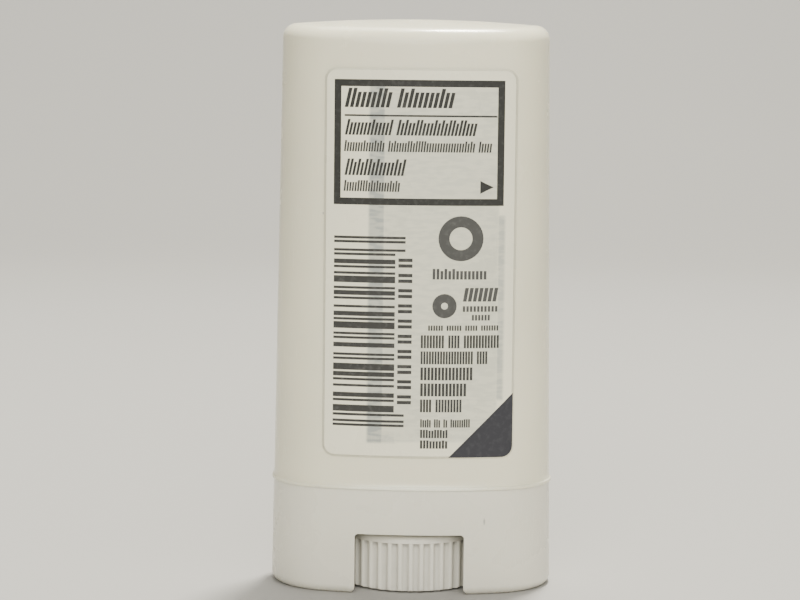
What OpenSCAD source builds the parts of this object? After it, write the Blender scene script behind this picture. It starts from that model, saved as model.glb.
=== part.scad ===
// A small oval twist-up deodorant stick, closed, with a peel-open label on its back.
// Every section is a four-arc oval: two round ends and two broad, gently curved faces. All the
// arcs keep their centres, so a wall, a gap or a draft is only a change of radius, and each
// oval here is named by the radius of its round ends. The centres lie on a right triangle with
// sides of 16, 63 and 65 units, so that the arcs meet smoothly at exact sizes.
// The label faces -Y, the broad way of the oval is X, and the pack stands on z = 0.

/* [Oval] */
// Distance of the centres of the round ends from the middle of the pack
end_centre_x = 9.6; // [9:0.08:10.24]

/* [Base] */
// End radius of the base near its foot
base_foot_r = 9.35; // [9.25:0.01:9.5]
// How much narrower the base is at its top edge
base_draft = 0.22; // [0.1:0.01:0.3]
// Height of the base, up to the seam under the cap
base_h = 14; // [12.5:0.1:15]
// Wall of the base skirt
skirt_wall = 1.6; // [1.4:0.05:1.9]
// Rounding along the foot
foot_round = 1.2; // [0.6:0.05:1.25]
// Rounding of the top edge of the base
base_edge_round = 0.25; // [0.1:0.05:0.4]
// Thickness of the floor between the skirt and the tube
floor_t = 1.3; // [1:0.1:1.8]

/* [Thumb windows] */
// Width of the window over the dial
window_w = 14.5; // [12:0.1:16]
// Height of the window, from the foot
window_h = 8.1; // [7.6:0.05:9]
// Rounding of the window's upper corners
window_corner_r = 0.5; // [0.2:0.1:1.5]
// Rounding where the window meets the foot
window_foot_r = 0.9; // [0.3:0.1:2]

/* [Tube] */
// Wall of the tube at its rim
rim_wall = 0.9; // [0.8:0.05:1.3]
// Room above the tube's rim, up to the crown of the closed pack
rim_room_h = 18; // [16:0.5:20]
// Rounding of the rim
rim_round = 0.3; // [0.1:0.05:0.35]
// Height of the snap ridge above the base
ridge_rise = 3.2; // [2.4:0.1:6]
// How far the snap ridge stands out of the tube
ridge_out = 0.2; // [0.1:0.02:0.24]
// Half of the ridge's foot, along the tube
ridge_half_w = 0.9; // [0.6:0.1:1.4]

/* [Cap] */
// Height of the closed pack, at the crown of the cap
overall_h = 76; // [74:0.5:80]
// How far the cap wall stands inside the top edge of the base
cap_step = 0.03; // [0:0.01:0.1]
// How much narrower the cap wall is at the crown than at the seam
cap_draft = 0.92; // [0.4:0.01:1.1]
// Wall of the cap
cap_wall = 1.1; // [0.9:0.05:1.25]
// Thickness of the cap's crown
cap_top_t = 1.2; // [0.9:0.1:2]
// Rounding of the edge round the crown
crown_edge_r = 1.7; // [1:0.1:2]
// Rounding of the same edge inside
crown_inner_r = 0.8; // [0.4:0.1:1.4]
// Radius of the crown from front to back
crown_ry = 27; // [22:1:40]
// Radius of the crown from end to end
crown_rx = 200; // [120:10:400]
// Gap between the cap and the tube
cap_gap = 0.3; // [0.26:0.01:0.4]
// Gap of the seam between the cap and the base
seam_gap = 0.1; // [0.05:0.01:0.2]
// How far the lip at the mouth flares out
lip_out = 0.27; // [0.1:0.01:0.35]
// Height of the lip's flare
lip_h = 1; // [0.6:0.1:1.6]
// Height of the lip's upright edge
lip_edge_h = 0.35; // [0.2:0.05:0.6]
// Depth of the groove that takes the snap ridge
snap_groove = 0.12; // [0.05:0.01:0.25]

/* [Dial and screw] */
// How far the dial stands back from the face of the foot
dial_setback = 1.25; // [1:0.05:1.6]
// Gap under the dial, above the foot
dial_foot_gap = 0.25; // [0.15:0.05:0.6]
// Gap between the top of the dial and the upper edge of the window
dial_top_gap = 0.4; // [0.3:0.05:0.8]
// Height of the plain band above the grooves
groove_land_h = 1; // [0.95:0.05:2]
// Number of grooves round the dial
groove_count = 40; // [30:1:44]
// Place of the first groove, as a share of the pitch
groove_start = 0.65; // [0:0.05:1]
// Radius of each groove
groove_r = 0.42; // [0.3:0.02:0.5]
// Rounding of the dial's upper edge
dial_round = 0.8; // [0.4:0.1:0.9]
// Wall of the dial's rim
dial_rim_t = 1.6; // [1.2:0.1:2.2]
// Thickness of the dial's web
dial_web_t = 1.3; // [1:0.1:2]
// Depth of the recess under the web
dial_recess = 0.9; // [0.4:0.1:1.6]
// Radius of the hub under the floor
hub_r = 4.8; // [4.4:0.1:6]
// Number of ribs between the hub and the rim
dial_ribs = 6; // [3:1:10]
// Thickness of those ribs
dial_rib_t = 0.9; // [0.6:0.1:1.4]
// Radius of the neck that turns in the floor
neck_r = 3.5; // [3.3:0.05:3.8]
// Running gap round the neck
neck_gap = 0.05; // [0.02:0.01:0.1]
// Gap above and below the floor
thrust_gap = 0.1; // [0.05:0.01:0.2]
// Radius of the collar that snaps through the floor
collar_r = 3.9; // [3.85:0.05:4.2]
// Height of the collar
collar_h = 0.8; // [0.5:0.1:1]
// Outside radius of the screw thread
screw_r = 2.8; // [2.5:0.05:2.9]
// How far the top of the screw lies below the rim
screw_depth = 4; // [3:0.5:6]
// Taper at the top of the screw
screw_tip = 0.8; // [0.3:0.1:1.2]

/* [Elevator] */
// How far the platform that carries the product lies below the rim
platform_depth = 7.5; // [6:0.1:8]
// Thickness of the platform
platform_t = 1.2; // [0.9:0.1:1.6]
// Gap between the elevator and the bore
elevator_gap = 0.15; // [0.1:0.01:0.25]
// Depth of the skirt below the platform's top
elevator_skirt_h = 5; // [3.5:0.1:5.4]
// Wall of that skirt
elevator_wall = 0.9; // [0.7:0.05:1.2]
// Radius of the nut round the screw
nut_r = 4.6; // [4.1:0.1:5]
// Running gap between the screw and the nut
nut_gap = 0.2; // [0.1:0.02:0.3]
// Length of the nut below the platform's top
nut_h = 5.2; // [4.5:0.1:5.3]
// Height of the collar that stands up into the product
nut_collar_h = 3; // [1.5:0.1:4]
// Thickness of the ribs under the platform
elevator_rib_t = 0.9; // [0.6:0.1:1.2]
// Depth of those ribs below the platform's top
elevator_rib_h = 4; // [2.5:0.1:4.8]
// Place of each anchor fin, from the middle
fin_x = 9.5; // [8:0.1:11]
// Length of each anchor fin
fin_w = 7; // [4:0.5:8]
// Thickness of each anchor fin
fin_t = 1.2; // [0.8:0.1:1.6]
// Height of each anchor fin
fin_h = 3.5; // [2:0.1:4.5]

/* [Product] */
// Height of the product at its crown, above the platform
product_h = 12.5; // [10:0.5:13.5]
// Gap between the product and the bore
product_gap = 0.1; // [0.05:0.01:0.2]
// Rounding of the product's edge
product_edge_r = 1.4; // [0.8:0.1:2]
// Radius of the dome from front to back
dome_ry = 12; // [10:0.5:20]
// Radius of the dome from end to end
dome_rx = 50; // [36:1:80]
// Gap between the product and what stands up into it
cast_gap = 0.1; // [0.05:0.01:0.2]
// Radius of the hole that the screw leaves in the product
product_hole_r = 3.3; // [3.1:0.05:3.8]

/* [Label] */
// Width of the label
label_w = 25.3; // [20:0.1:28]
// Height of the label's lower edge above the seam
label_foot_gap = 4.4; // [3:0.1:8]
// Distance of the label's upper edge below the crown
label_crown_gap = 6.4; // [5.2:0.1:14]
// Middle of the label, right of the middle of the pack
label_x = 0.95; // [-2:0.05:2]
// Corner radius of the label
label_corner_r = 1.6; // [0.5:0.1:4]
// Thickness of each of the two films
film_t = 0.09; // [0.06:0.01:0.15]
// Gap under each film
film_gap = 0.01; // [0.005:0.005:0.02]
// How far the upper film stops inside the edge of the lower one
film_inset = 0.12; // [0.05:0.01:0.4]

/* [Hidden] */
$fn = 180;
round_steps = 5;
oval_unit = end_centre_x / 16;
face_centre_y = 63 * oval_unit;
face_reach = 65 * oval_unit;
face_half_angle = atan(16 / 63);
end_half_angle = 90 - face_half_angle;
// How far a cutting shape runs past the solid
past = 1;
// Half of the flat on top of the snap ridge
bead_flat = 0.4;

// Heights that follow from the pack, the base and the rim
floor_z = base_h - floor_t;
mouth_z = base_h + seam_gap;
ridge_z = base_h + ridge_rise;
lip_top_z = mouth_z + lip_edge_h + lip_h;
rim_z = overall_h - rim_room_h;
platform_z = rim_z - platform_depth;
screw_top_z = rim_z - screw_depth;
hub_top_z = floor_z - thrust_gap;
collar_z = base_h + thrust_gap;
dial_top_z = window_h - dial_top_gap;
groove_top_z = dial_top_z - groove_land_h;
label_bottom_z = base_h + label_foot_gap;
label_top_z = overall_h - label_crown_gap;
label_h = label_top_z - label_bottom_z;

// End radii of the outside walls at their ends
base_top_r = base_foot_r - base_draft;
cap_mouth_r = base_top_r - cap_step;
cap_top_r = cap_mouth_r - cap_draft;

// End radii of the drafted walls at height z
function base_wall_r(z) = base_foot_r + (base_top_r - base_foot_r) * z / base_h;
function cap_wall_r(z) = cap_mouth_r + (cap_top_r - cap_mouth_r) * (z - base_h) / (overall_h - base_h);
function cap_inner_r(z) = cap_wall_r(z) - cap_wall;
function tube_wall_r(z) = cap_inner_r(z) - cap_gap;

// Half the depth of an oval, from front to back
function half_depth(r) = r + face_reach - face_centre_y;

// Radii that follow from the walls and from the screw
bore_r = tube_wall_r(rim_z) - rim_wall;
dial_r = half_depth(base_foot_r) - dial_setback;
nut_bore_r = screw_r + nut_gap;

// Points of a rounded corner, from one angle to another, in a profile of [radius, height]
function corner(centre, r, from, to) =
    [for (i = [0:round_steps]) let (a = from + (to - from) * i / round_steps) centre + r * [cos(a), sin(a)]];

// Whole microns, so that the turned parts of an oval share their edges exactly
function micron(v) = round(v * 1000) / 1000;

// One broad face of an oval body, turned about its own far centre
module face_turning(section, side) {
    translate([0, side * face_centre_y, 0])
        rotate_extrude()
            polygon([for (p = section) [p[0] == 0 ? 0 : micron(p[0]) + face_reach, micron(p[1])]]);
}

// A solid oval body from one section of [end radius, height] points that starts and ends on the
// axis: two turned round ends, and between them what the two broad faces have in common.
module oval(section) {
    for (side = [-1, 1])
        translate([side * end_centre_x, 0, 0])
            rotate_extrude()
                polygon([for (p = section) [micron(p[0]), micron(p[1])]]);
    intersection() {
        face_turning(section, -1);
        face_turning(section, 1);
        translate([0, 0, -overall_h])
            linear_extrude(2 * overall_h)
                polygon([
                    [end_centre_x, 0],
                    [2 * end_centre_x, -face_centre_y],
                    [-2 * end_centre_x, -face_centre_y],
                    [-end_centre_x, 0],
                    [-2 * end_centre_x, face_centre_y],
                    [2 * end_centre_x, face_centre_y]]);
    }
}

// Walk round an oval for the lofted pieces: [centre x, centre y, angle, extra radius]
function arc_steps(x, y, from, to, count, reach) =
    [for (i = [0:count - 1]) [x, y, from + (to - from) * i / count, reach]];
end_steps = 24;
face_steps = 16;
oval_steps = concat(
    arc_steps(end_centre_x, 0, -end_half_angle, end_half_angle, end_steps, 0),
    arc_steps(0, -face_centre_y, end_half_angle, 180 - end_half_angle, face_steps, face_reach),
    arc_steps(-end_centre_x, 0, 180 - end_half_angle, 180 + end_half_angle, end_steps, 0),
    arc_steps(0, face_centre_y, 180 + end_half_angle, 360 - end_half_angle, face_steps, face_reach));
ring_count = len(oval_steps);

function oval_point(r, s) = [s[0] + (r + s[3]) * cos(s[2]), s[1] + (r + s[3]) * sin(s[2])];
function bulge(radius, x) = radius - sqrt(radius * radius - x * x);

// Height of a crown that is curved both ways; crown is [apex height, end to end, front to back]
function crown_z(p, crown) = crown[0] - bulge(crown[1], p[0]) - bulge(crown[2], p[1]);

// Rings of points: level, along a rounded edge, and across a crown towards its middle
function level_ring(r, z) = [for (s = oval_steps) let (p = oval_point(r, s)) [p[0], p[1], z]];
function edge_ring(r, edge, t, crown) =
    [for (s = oval_steps) let (p = oval_point(r - edge * (1 - cos(t)), s))
        [p[0], p[1], crown_z(p, crown) - edge * (1 - sin(t))]];
function crown_ring(r, share, crown) =
    [for (s = oval_steps) let (p = oval_point(r, s) * share) [p[0], p[1], crown_z(p, crown)]];

// Two triangles for each step between ring a and ring b
function strip(a, b) =
    [for (j = [0:ring_count - 1]) let (k = (j + 1) % ring_count)
        each [[a * ring_count + j, a * ring_count + k, b * ring_count + k],
              [a * ring_count + j, b * ring_count + k, b * ring_count + j]]];
function strips(count) = [for (i = [0:count - 2]) each strip(i, i + 1)];

// Skirt, floor and tube are one moulding, open for the dial at the foot
barrel_section = concat(
    [[0, 0]],
    corner([base_foot_r - foot_round, foot_round], foot_round, -90, 0),
    corner([base_top_r - base_edge_round, base_h - base_edge_round], base_edge_round, 0, 90),
    [[tube_wall_r(base_h), base_h],
     [tube_wall_r(ridge_z - ridge_half_w), ridge_z - ridge_half_w],
     [tube_wall_r(ridge_z) + ridge_out, ridge_z - bead_flat],
     [tube_wall_r(ridge_z) + ridge_out, ridge_z + bead_flat],
     [tube_wall_r(ridge_z + ridge_half_w), ridge_z + ridge_half_w]],
    corner([tube_wall_r(rim_z) - rim_round, rim_z - rim_round], rim_round, 0, 90),
    [[0, rim_z]]);

// The bore that holds the product, with its mouth eased a little
bore_section = [
    [0, base_h],
    [bore_r, base_h],
    [bore_r, rim_z - rim_round],
    [bore_r + rim_round / 2, rim_z],
    [bore_r + rim_round / 2, rim_z + past],
    [0, rim_z + past]];

// The hollow of the skirt, below the floor
skirt_section = [
    [0, -past],
    [base_foot_r - skirt_wall, -past],
    [base_foot_r - skirt_wall, 0],
    [base_wall_r(floor_z) - skirt_wall, floor_z],
    [0, floor_z]];

// Outline of a thumb window, seen from the front
window_outline = concat(
    [[window_w / 2 + window_foot_r, -past]],
    corner([window_w / 2 + window_foot_r, window_foot_r], window_foot_r, 270, 180),
    corner([window_w / 2 - window_corner_r, window_h - window_corner_r], window_corner_r, 0, 90),
    corner([-window_w / 2 + window_corner_r, window_h - window_corner_r], window_corner_r, 90, 180),
    corner([-window_w / 2 - window_foot_r, window_foot_r], window_foot_r, 0, -90),
    [[-window_w / 2 - window_foot_r, -past]]);

module barrel() {
    color([0.77, 0.77, 0.75])
        difference() {
            oval(barrel_section);
            oval(bore_section);
            oval(skirt_section);
            translate([0, 0, floor_z - past])
                cylinder(r = neck_r + neck_gap, h = floor_t + 2 * past);
            translate([0, 2 * base_foot_r, 0])
                rotate([90, 0, 0])
                    linear_extrude(4 * base_foot_r)
                        polygon(window_outline);
        }
}

// The dial, its hub and the screw are one turned shape with grooves cut round the rim
web_z = dial_foot_gap + dial_recess;
foot_chamfer = 0.35;
dial_section = concat(
    [[0, web_z],
     [dial_r - dial_rim_t, web_z],
     [dial_r - dial_rim_t, dial_foot_gap],
     [dial_r - foot_chamfer, dial_foot_gap],
     [dial_r, dial_foot_gap + foot_chamfer]],
    corner([dial_r - dial_round, dial_top_z - dial_round], dial_round, 0, 90),
    [[dial_r - dial_rim_t, dial_top_z],
     [dial_r - dial_rim_t, web_z + dial_web_t],
     [hub_r, web_z + dial_web_t],
     [hub_r, hub_top_z],
     [neck_r, hub_top_z],
     [neck_r, collar_z],
     [collar_r, collar_z],
     [collar_r, collar_z + collar_h / 2],
     [screw_r, collar_z + collar_h],
     [screw_r, screw_top_z - screw_tip],
     [screw_r - screw_tip / 2, screw_top_z],
     [0, screw_top_z]]);

module dial_screw() {
    color([0.8, 0.79, 0.76])
        difference() {
            union() {
                rotate_extrude()
                    polygon(dial_section);
                for (i = [0:dial_ribs - 1])
                    rotate([0, 0, i * 360 / dial_ribs])
                        translate([hub_r - dial_rib_t / 2, -dial_rib_t / 2, web_z])
                            cube([dial_r - dial_rim_t - hub_r + dial_rib_t, dial_rib_t, dial_top_z - past - web_z]);
            }
            for (i = [0:groove_count - 1])
                rotate([0, 0, (i + groove_start) * 360 / groove_count])
                    translate([dial_r, 0, -past])
                        cylinder(r = groove_r, h = groove_top_z + past, $fn = 24);
        }
}

// The elevator can't turn in the oval bore, so the screw drives its nut up and down
elevator_r = bore_r - elevator_gap;
elevator_foot_z = platform_z - elevator_skirt_h;
wiper = elevator_gap / 2;

module elevator() {
    color([0.88, 0.88, 0.86])
        difference() {
            union() {
                difference() {
                    oval([
                        [0, elevator_foot_z],
                        [elevator_r + wiper, elevator_foot_z],
                        [elevator_r, elevator_foot_z + elevator_wall],
                        [elevator_r, platform_z],
                        [0, platform_z]]);
                    oval([
                        [0, elevator_foot_z - past],
                        [elevator_r - elevator_wall, elevator_foot_z - past],
                        [elevator_r - elevator_wall, platform_z - platform_t],
                        [0, platform_z - platform_t]]);
                }
                translate([0, 0, platform_z - nut_h])
                    cylinder(r = nut_r, h = nut_h + nut_collar_h);
                translate([-end_centre_x - elevator_r + wiper, -elevator_rib_t / 2, platform_z - elevator_rib_h])
                    cube([2 * (end_centre_x + elevator_r - wiper), elevator_rib_t, elevator_rib_h]);
                for (side = [-1, 1])
                    translate([side * fin_x - fin_t / 2, -fin_w / 2, platform_z - elevator_rib_h])
                        cube([fin_t, fin_w, elevator_rib_h + fin_h]);
            }
            translate([0, 0, platform_z - nut_h - past])
                cylinder(r = nut_bore_r, h = nut_h + nut_collar_h + 2 * past);
        }
}

// What is left of the stick: cast in the tube, domed, with the hole that the screw leaves
product_r = bore_r - product_gap;
product_crown = [platform_z + product_h, dome_rx, dome_ry];
recess_r = nut_r + cast_gap;
recess_z = platform_z + nut_collar_h + cast_gap;
product_flat_r = product_r - product_edge_r;

function round_ring(r, z) = [for (s = oval_steps)
    let (p = oval_point(product_flat_r, s)) let (a = atan2(p[1], p[0])) [r * cos(a), r * sin(a), z]];
function domed_ring(share) = [for (s = oval_steps)
    let (p = oval_point(product_flat_r, s))
    let (a = atan2(p[1], p[0]))
    let (q = share * p + (1 - share) * product_hole_r * [cos(a), sin(a)])
    [q[0], q[1], crown_z(q, product_crown)]];

product_rings = concat(
    [level_ring(product_r, platform_z)],
    [round_ring(recess_r, platform_z), round_ring(recess_r, recess_z), round_ring(product_hole_r, recess_z)],
    [for (share = [0, 0.25, 0.5, 0.75]) domed_ring(share)],
    [for (t = [90, 67.5, 45, 22.5, 0]) edge_ring(product_r, product_edge_r, t, product_crown)]);

module product() {
    last = len(product_rings) - 1;
    color([0.95, 0.95, 0.93])
        difference() {
            polyhedron(points = [for (ring = product_rings) each ring],
                       faces = concat(strips(last + 1), strip(last, 0)));
            for (side = [-1, 1])
                translate([side * fin_x - fin_t / 2 - cast_gap, -fin_w / 2 - cast_gap, platform_z - past])
                    cube([fin_t + 2 * cast_gap, fin_w + 2 * cast_gap, fin_h + cast_gap + past]);
        }
}

// The cap is one thin moulding: down its outside, across the mouth and up its inside
cap_crown = [overall_h, crown_rx, crown_ry];
cap_inner_crown = [overall_h - cap_top_t, crown_rx, crown_ry];
wall_end_z = crown_z([end_centre_x + cap_top_r, half_depth(cap_top_r)], cap_crown) - crown_edge_r;
cap_edge_r = cap_wall_r(overall_h - 2 * crown_edge_r);
cap_inner_edge_r = cap_inner_r(overall_h - 2 * crown_edge_r);
lip_r = cap_wall_r(lip_top_z) + lip_out;
mouth_chamfer = 0.12;
mouth_lead = 0.4;

function lip_ring(t) =
    level_ring(cap_wall_r(lip_top_z) + lip_out * (1 - cos(t)), lip_top_z - lip_h * sin(t));

cap_rings = concat(
    [for (share = [0.3, 0.6, 0.82]) crown_ring(cap_edge_r - crown_edge_r, share, cap_crown)],
    [for (t = [90:-15:0]) edge_ring(cap_edge_r, crown_edge_r, t, cap_crown)],
    [level_ring(cap_wall_r(wall_end_z), wall_end_z)],
    [for (t = [0, 30, 60, 90]) lip_ring(t)],
    [level_ring(lip_r, mouth_z + mouth_chamfer),
     level_ring(lip_r - mouth_chamfer, mouth_z),
     level_ring(cap_inner_r(mouth_z) + mouth_lead / 2, mouth_z),
     level_ring(cap_inner_r(mouth_z + mouth_lead), mouth_z + mouth_lead),
     level_ring(cap_inner_r(ridge_z - ridge_half_w), ridge_z - ridge_half_w),
     level_ring(cap_inner_r(ridge_z) + snap_groove, ridge_z - bead_flat),
     level_ring(cap_inner_r(ridge_z) + snap_groove, ridge_z + bead_flat),
     level_ring(cap_inner_r(ridge_z + ridge_half_w), ridge_z + ridge_half_w)],
    [for (t = [0:22.5:90]) edge_ring(cap_inner_edge_r, crown_inner_r, t, cap_inner_crown)],
    [for (share = [0.6, 0.3]) crown_ring(cap_inner_edge_r - crown_inner_r, share, cap_inner_crown)]);

module cap() {
    count = len(cap_rings);
    points = concat([for (ring = cap_rings) each ring],
                    [[0, 0, cap_crown[0]], [0, 0, cap_inner_crown[0]]]);
    outer_apex = count * ring_count;
    inner_apex = outer_apex + 1;
    last = (count - 1) * ring_count;
    outer_fan = [for (j = [0:ring_count - 1]) [outer_apex, (j + 1) % ring_count, j]];
    inner_fan = [for (j = [0:ring_count - 1]) [inner_apex, last + j, last + (j + 1) % ring_count]];
    color([0.81, 0.79, 0.74])
        polyhedron(points = points, faces = concat(outer_fan, strips(count), inner_fan));
}

// The label is two thin films, one on the other, which follow the drafted wall of the cap
module film(lift, inset) {
    low = label_bottom_z - past;
    high = label_top_z + past;
    half_w = label_w / 2 - inset;
    half_h = label_h / 2 - inset;
    corner_r = label_corner_r - inset;
    outline = concat(
        corner([half_w - corner_r, half_h - corner_r], corner_r, 0, 90),
        corner([-half_w + corner_r, half_h - corner_r], corner_r, 90, 180),
        corner([-half_w + corner_r, -half_h + corner_r], corner_r, 180, 270),
        corner([half_w - corner_r, -half_h + corner_r], corner_r, 270, 360));
    rings = [
        level_ring(cap_wall_r(low) + lift, low),
        level_ring(cap_wall_r(high) + lift, high),
        level_ring(cap_wall_r(high) + lift + film_t, high),
        level_ring(cap_wall_r(low) + lift + film_t, low)];
    intersection() {
        polyhedron(points = [for (ring = rings) each ring],
                   faces = concat(strips(len(rings)), strip(len(rings) - 1, 0)));
        translate([label_x, 0, (label_bottom_z + label_top_z) / 2])
            rotate([90, 0, 0])
                linear_extrude(2 * base_foot_r)
                    polygon(outline);
    }
}

module label_base() {
    color([0.85, 0.84, 0.79])
        film(film_gap, 0);
}

module label_peel() {
    color([0.86, 0.86, 0.81])
        film(2 * film_gap + film_t, film_inset);
}

barrel();
dial_screw();
elevator();
product();
cap();
label_base();
label_peel();
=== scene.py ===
import math
import random

import bmesh
import bpy
from mathutils import Matrix, Vector, noise


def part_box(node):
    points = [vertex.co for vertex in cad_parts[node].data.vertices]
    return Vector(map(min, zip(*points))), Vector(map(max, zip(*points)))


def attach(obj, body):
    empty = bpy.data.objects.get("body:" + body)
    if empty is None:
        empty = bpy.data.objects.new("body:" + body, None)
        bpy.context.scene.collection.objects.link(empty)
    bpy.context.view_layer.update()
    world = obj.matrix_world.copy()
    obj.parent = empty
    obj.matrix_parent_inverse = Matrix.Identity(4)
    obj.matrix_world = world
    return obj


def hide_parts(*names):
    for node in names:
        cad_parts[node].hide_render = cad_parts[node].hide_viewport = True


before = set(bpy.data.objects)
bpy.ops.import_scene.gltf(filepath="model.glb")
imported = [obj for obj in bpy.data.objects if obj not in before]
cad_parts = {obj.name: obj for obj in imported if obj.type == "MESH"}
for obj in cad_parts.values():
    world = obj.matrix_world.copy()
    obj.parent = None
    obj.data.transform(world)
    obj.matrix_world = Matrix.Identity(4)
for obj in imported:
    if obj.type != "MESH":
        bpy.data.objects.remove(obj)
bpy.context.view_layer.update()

# Base and tube: one moulding of white polypropylene. The oval skirt, the floor across it and the
# tube that stands up inside the cap are moulded together, with two thumb windows in the skirt.
# Its plan, like that of every oval here, is four arcs, named by the radius of its round ends.
MM = 0.001
end_x = 9.6 * MM
face_y = 37.8 * MM
# The arcs of the ends and of the faces meet smoothly, on the line through their centres
face_reach = math.hypot(end_x, face_y)
face_turn = math.atan2(end_x, face_y)


def spaced(start, stop, steps):
    """Evenly spaced values, with both ends among them."""
    return [start + (stop - start) * i / steps for i in range(steps + 1)]


def on_circle(r, turn, z):
    return Vector((r * math.cos(turn), r * math.sin(turn), z))


def walk_round_oval(end_steps, face_steps):
    """Places round the four arcs: the centre of the arc, the direction from it, the reach added."""
    half_end = math.pi / 2 - face_turn
    arcs = (
        (end_x, 0, -half_end, half_end, end_steps, 0),
        (0, -face_y, half_end, math.pi - half_end, face_steps, face_reach),
        (-end_x, 0, math.pi - half_end, math.pi + half_end, end_steps, 0),
        (0, face_y, math.pi + half_end, 2 * math.pi - half_end, face_steps, face_reach),
    )
    return [
        (x, y, turn, reach)
        for x, y, start, stop, steps, reach in arcs
        for turn in spaced(start, stop, steps)[:-1]
    ]


def oval_point(r, place):
    x, y, turn, reach = place
    return x + (r + reach) * math.cos(turn), y + (r + reach) * math.sin(turn)


def oval_ring(walk, r, z):
    return [Vector((*oval_point(r, place), z)) for place in walk]


def round_ring(walk, r, z, share=1.0, oval_r=MM):
    """A ring on a circle, or part of the way to it from an oval."""
    ring = []
    for place in walk:
        x, y = oval_point(oval_r, place)
        ring.append(Vector((x, y, z)).lerp(on_circle(r, math.atan2(y, x), z), share))
    return ring


def quarter(r, z, radius, start, stop, steps=6):
    """Points [radius, height] of a rounded corner about its centre, between two angles."""
    turns = [math.radians(turn) for turn in spaced(start, stop, steps)]
    return [(r + radius * math.cos(t), z + radius * math.sin(t)) for t in turns]


def piece_from(name, points, faces, smooth_angle=32):
    """A mesh piece with outward faces, smooth but for edges sharper than the angle."""
    mesh = bpy.data.meshes.new(name)
    mesh.from_pydata([tuple(p) for p in points], [], faces)
    shell = bmesh.new()
    shell.from_mesh(mesh)
    bmesh.ops.recalc_face_normals(shell, faces=shell.faces)
    shell.to_mesh(mesh)
    shell.free()
    piece = bpy.data.objects.new(name, mesh)
    bpy.context.scene.collection.objects.link(piece)
    smooth_out(piece, smooth_angle)
    return piece


def smooth_out(piece, angle):
    piece.data.polygons.foreach_set("use_smooth", [True] * len(piece.data.polygons))
    piece.data.set_sharp_from_angle(angle=math.radians(angle))


def strips_between(rings, closed=False, first=0):
    """Faces that join each ring to the next, and the last to the first if the loft is closed."""
    count = len(rings[0])
    faces = []
    for i in range(len(rings) - (0 if closed else 1)):
        a, b = first + i * count, first + (i + 1) % len(rings) * count
        for j in range(count):
            k = (j + 1) % count
            faces.append((a + j, a + k, b + k, b + j))
    return faces


def closed_loft(name, rings, smooth_angle=32):
    """A piece through the rings, with the last of them joined to the first."""
    points = [p for ring in rings for p in ring]
    return piece_from(name, points, strips_between(rings, closed=True), smooth_angle)


def add_rod(points, faces, rings):
    """Adds a loft with a flat face at either end."""
    first, size = len(points), len(rings[0])
    points += [p for ring in rings for p in ring]
    faces += strips_between(rings, first=first)
    for start in (first, len(points) - size):
        faces.append(tuple(range(start, start + size)))


def apply_modifiers(piece):
    graph = bpy.context.evaluated_depsgraph_get()
    made = bpy.data.meshes.new_from_object(piece.evaluated_get(graph))
    piece.modifiers.clear()
    piece.data = made


def cut_away(piece, cutter):
    """Takes the cutter's form out of the piece."""
    cut = piece.modifiers.new("cut", "BOOLEAN")
    cut.operation = "DIFFERENCE"
    cut.solver = "EXACT"
    cut.object = cutter
    apply_modifiers(piece)
    bpy.data.objects.remove(cutter)


def soften_edges(piece, width):
    """Rounds every sharp edge a little, as a mould does."""
    rounding = piece.modifiers.new("rounding", "BEVEL")
    rounding.width = width
    rounding.segments = 3
    rounding.limit_method = "ANGLE"
    rounding.angle_limit = math.radians(40)
    rounding.use_clamp_overlap = True
    apply_modifiers(piece)
    smooth_out(piece, 32)


barrel_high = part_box("barrel")[1]
foot_r = barrel_high.x - end_x
rim_z = barrel_high.z
base_h = 14.0 * MM
base_draft = 0.22 * MM
base_top_r = foot_r - base_draft
skirt_wall = 1.6 * MM
floor_t = 1.3 * MM
floor_z = base_h - floor_t
foot_round = 1.2 * MM
base_edge = 0.05 * MM
cap_seat_gap = 0.02 * MM
shoulder_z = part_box("cap")[0].z - cap_seat_gap
cap_mouth_step = 0.03 * MM
cap_mouth_r = base_top_r - cap_mouth_step
cap_top_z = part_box("cap")[1].z
cap_draft = 0.92 * MM
tube_inset = 1.4 * MM
tube_fillet = 0.1 * MM
rim_wall = 0.9 * MM
rim_round = 0.3 * MM
rim_round_z = rim_z - rim_round
rim_inner_edge = 0.03 * MM
bore_fillet = 0.2 * MM
ridge_z = base_h + 3.2 * MM
ridge_out = 0.2 * MM
ridge_half_h = 0.9 * MM
ridge_flank = 0.5 * MM
hub_hole_r = 3.55 * MM


def cap_wall_r(z):
    """End radius of the cap's outside, which the tube inside follows."""
    return cap_mouth_r - cap_draft * (z - base_h) / (cap_top_z - base_h)


def ridge_share(z):
    """How much of the ridge's full depth stands at a height. The cap's groove has the same form."""
    share = min(max((ridge_half_h - abs(z - ridge_z)) / ridge_flank, 0), 1)
    return share * share * (3 - 2 * share)


def tube_r(z):
    return cap_wall_r(z) - tube_inset + ridge_out * ridge_share(z)


def skirt_r(z):
    return foot_r + (base_top_r - foot_r) * z / base_h


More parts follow.
